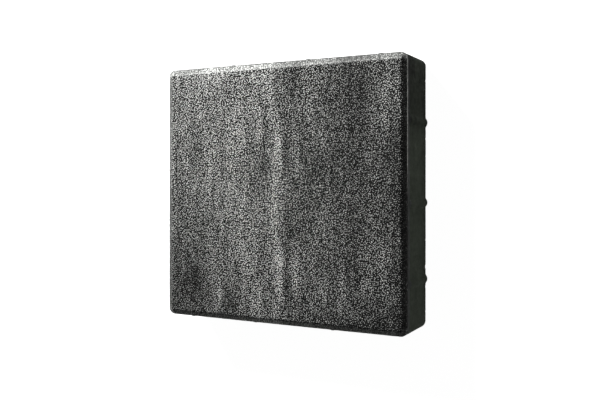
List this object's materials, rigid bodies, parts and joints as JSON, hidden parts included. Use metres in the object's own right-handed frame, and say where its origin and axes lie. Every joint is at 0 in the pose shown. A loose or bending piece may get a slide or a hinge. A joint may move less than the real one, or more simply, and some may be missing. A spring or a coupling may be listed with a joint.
{
  "type": "paving block",
  "caption": "Square concrete paving block with a chamfered walking face, softened corners and rounded spacer nibs along its sides, for laying on a sand bed.",
  "frame": {"origin": "centre of the bedding face, on the surface that the block lies on", "axes": "+Z up out of the walking face, +X and +Y square to the sides; +X is right and +Y is up in the picture"},
  "size_m": [0.304, 0.304, 0.07],
  "materials": {
    "concrete": "matt pressed concrete, speckled black, grey and white on the walking face with streaks of the colour mix, plain dark grey on the sides and below"
  },
  "bodies": {
    "root": {"paving_block": "concrete"}
  },
  "joints": []
}
